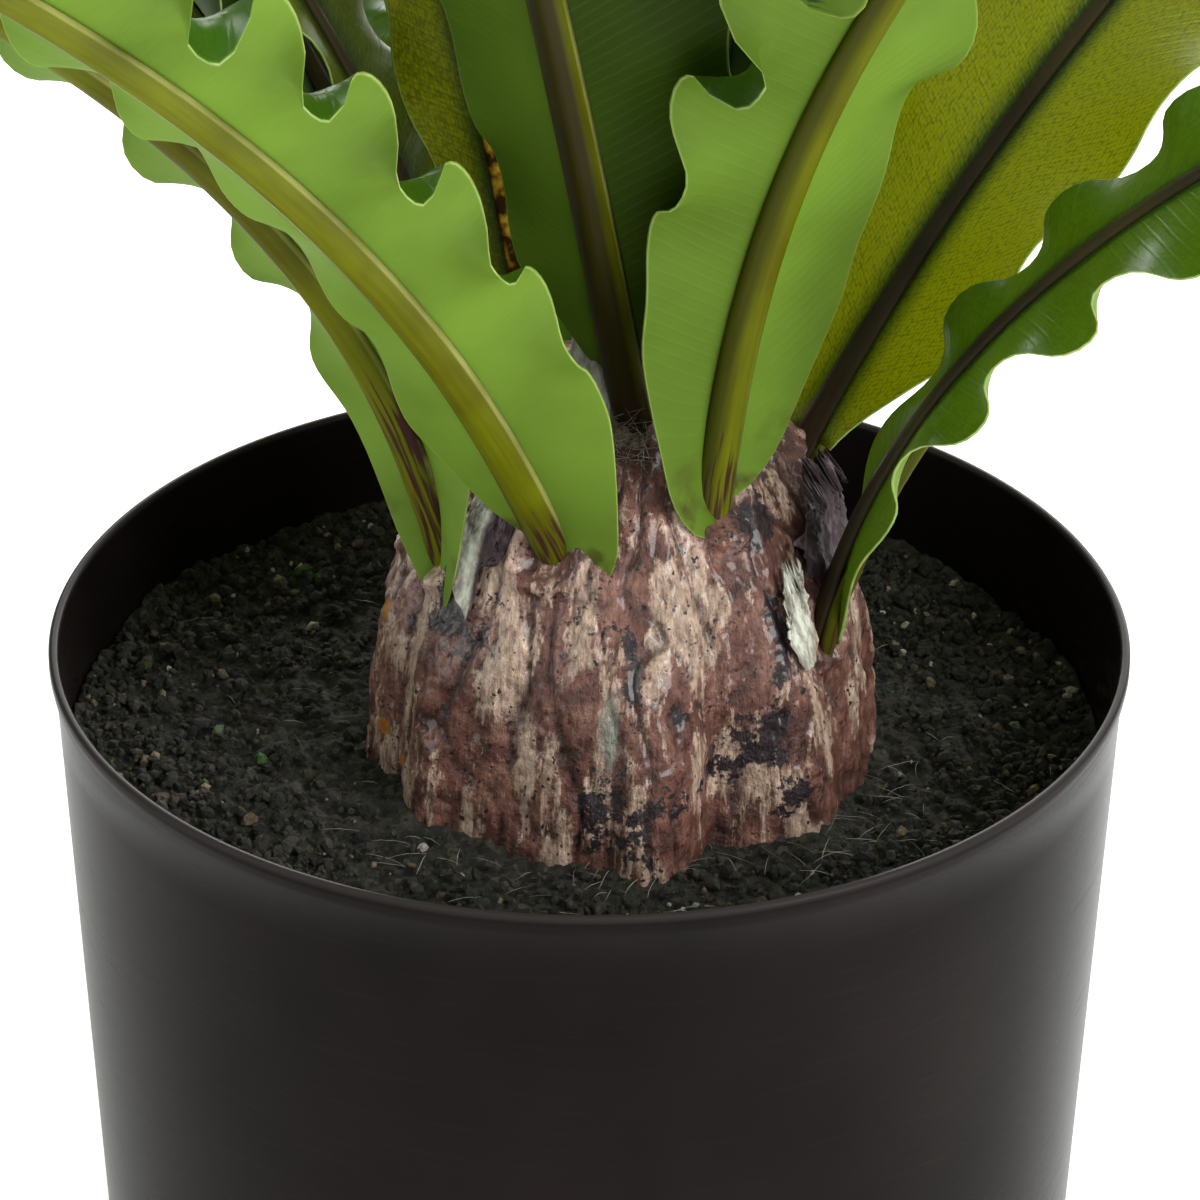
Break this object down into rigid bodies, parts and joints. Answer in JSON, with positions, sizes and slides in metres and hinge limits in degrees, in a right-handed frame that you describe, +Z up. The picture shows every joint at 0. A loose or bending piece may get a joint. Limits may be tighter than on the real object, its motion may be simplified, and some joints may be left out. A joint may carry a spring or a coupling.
{
  "type": "potted artificial bird's nest fern",
  "caption": "Bird's nest fern with waved strap fronds that rise and arch from a stout ridged rootstock, set in soil in a round tapered plastic pot",
  "frame": {"origin": "centre of the pot's flat base, where it stands", "axes": "+Z up through the pot; the side the picture shows faces -Y, with +X to its right"},
  "size_m": [0.7963, 0.7674, 0.661],
  "materials": {
    "pot_plastic": "satin",
    "potting_mix": "matte",
    "painted_rootstock": "satin",
    "frond_green": "satin",
    "midrib_olive": "satin",
    "dried_scale": "matte"
  },
  "bodies": {
    "root": {"pot": "pot_plastic", "soil": "potting_mix", "rootstock": "painted_rootstock", "frond_01_blade": "frond_green", "frond_01_midrib": "midrib_olive", "frond_02_blade": "frond_green", "frond_02_midrib": "midrib_olive", "frond_03_blade": "frond_green", "frond_03_midrib": "midrib_olive", "frond_04_blade": "frond_green", "frond_04_midrib": "midrib_olive", "frond_05_blade": "frond_green", "frond_05_midrib": "midrib_olive", "frond_06_blade": "frond_green", "frond_06_midrib": "midrib_olive", "frond_07_blade": "frond_green", "frond_07_midrib": "midrib_olive", "frond_08_blade": "frond_green", "frond_08_midrib": "midrib_olive", "frond_09_blade": "frond_green", "frond_09_midrib": "midrib_olive", "frond_10_blade": "frond_green", "frond_10_midrib": "midrib_olive", "frond_11_blade": "frond_green", "frond_11_midrib": "midrib_olive", "frond_12_blade": "frond_green", "frond_12_midrib": "midrib_olive", "frond_13_blade": "frond_green", "frond_13_midrib": "midrib_olive", "frond_14_blade": "frond_green", "frond_14_midrib": "midrib_olive", "frond_15_blade": "frond_green", "frond_15_midrib": "midrib_olive", "frond_16_blade": "frond_green", "frond_16_midrib": "midrib_olive", "dried_scale_1": "dried_scale", "dried_scale_2": "dried_scale", "dried_scale_3": "dried_scale"}
  },
  "joints": []
}
